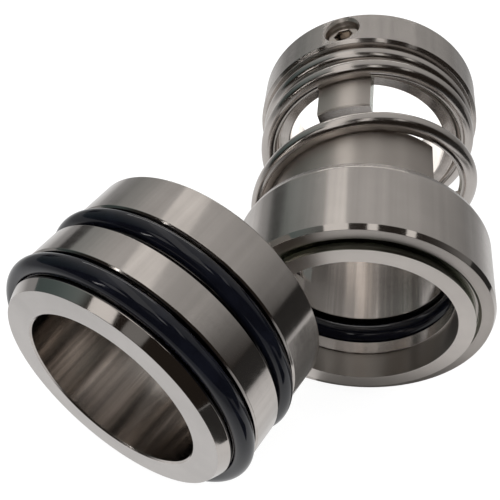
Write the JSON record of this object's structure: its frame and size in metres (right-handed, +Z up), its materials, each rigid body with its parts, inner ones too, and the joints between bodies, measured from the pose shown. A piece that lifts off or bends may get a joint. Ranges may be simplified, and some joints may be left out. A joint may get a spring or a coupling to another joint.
{
  "type": "component mechanical seal",
  "caption": "Mechanical shaft seal in two pieces: a sprung rotary unit with drive collar and lapped face ring, and a grooved stationary seat with rubber rings.",
  "frame": {"origin": "bottom centre of the box round both pieces as they lie", "axes": "+Y along the rotary unit's axis, from its sealing face to its drive collar; +Z up; the seat lies at -X, -Y with its axis turned 26.2 degrees towards +X"},
  "size_m": [0.0982, 0.1068, 0.0585],
  "materials": {
    "turned_steel": "fine turned stainless steel, satin",
    "lapped_steel": "lapped flat, matte light grey",
    "spring_wire": "drawn stainless wire, smooth and bright",
    "screw_steel": "plain stainless steel",
    "black_rubber": "smooth moulded black rubber, low sheen"
  },
  "bodies": {
    "collar": {"drive_collar": "turned_steel", "set_screw_1": "screw_steel", "set_screw_2": "screw_steel", "coil_spring": "spring_wire", "seat_ring": "turned_steel", "seat_front_o_ring": "black_rubber", "seat_rear_o_ring": "black_rubber"},
    "head": {"seal_head": "turned_steel", "face_ring": "lapped_steel", "shaft_o_ring": "black_rubber"}
  },
  "joints": [
    {"name": "head_slide", "type": "slide", "parent": "collar", "child": "head", "axis": [0, 1, 0], "range_m": [0, 0.006], "stiffness_N_per_m": 10700, "deforming": ["coil_spring"]}
  ]
}
